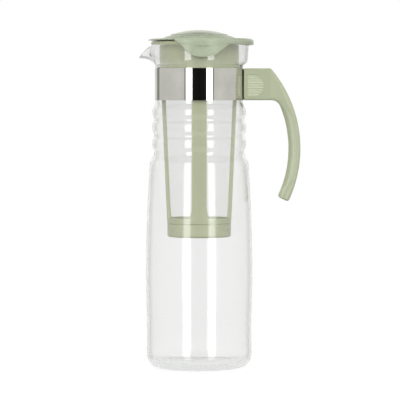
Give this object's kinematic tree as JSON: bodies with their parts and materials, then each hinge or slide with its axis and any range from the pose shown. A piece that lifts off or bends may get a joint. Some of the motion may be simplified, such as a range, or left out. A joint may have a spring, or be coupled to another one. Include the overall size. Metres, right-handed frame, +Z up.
{
  "type": "cold brew tea pitcher",
  "caption": "Tall glass pitcher with a pulled pouring lip, polished neck band, open hook handle, domed lid with finger tabs, and a hanging mesh strainer with a pull-off cap.",
  "frame": {"origin": "centre of the resting ring under the glass, on the pitcher's axis and on the table", "axes": "+Z up along the pitcher's axis, -X towards the pouring lip, +X towards the handle"},
  "size_m": [0.1434, 0.097, 0.3011],
  "materials": {
    "clear_glass": "clear, fire-polished",
    "polished_band": "mirror polish",
    "handle_plastic": "satin moulded, sage green",
    "strainer_plastic": "satin moulded, sage green",
    "lid_plastic": "satin moulded, pale sage green",
    "mesh_cloth": "fine plain-woven filter mesh",
    "screw_steel": "plain steel"
  },
  "bodies": {
    "jug": {"glass_body": "clear_glass", "neck_band": "polished_band", "handle": "handle_plastic", "clamp_screw": "screw_steel", "clamp_nut": "screw_steel"},
    "strainer": {"strainer_frame": "strainer_plastic", "strainer_mesh": "mesh_cloth"},
    "cap": {"strainer_cap": "strainer_plastic"},
    "cover": {"lid": "lid_plastic"}
  },
  "joints": [
    {"name": "strainer_lift", "type": "slide", "parent": "jug", "child": "strainer", "axis": [0, 0, 1], "range_m": [0, 0.18]},
    {"name": "lid_lift", "type": "slide", "parent": "strainer", "child": "cover", "axis": [0, 0, 1], "range_m": [0, 0.06]},
    {"name": "cap_pull", "type": "slide", "parent": "strainer", "child": "cap", "axis": [0, 0, -1], "range_m": [0, 0.05]}
  ]
}
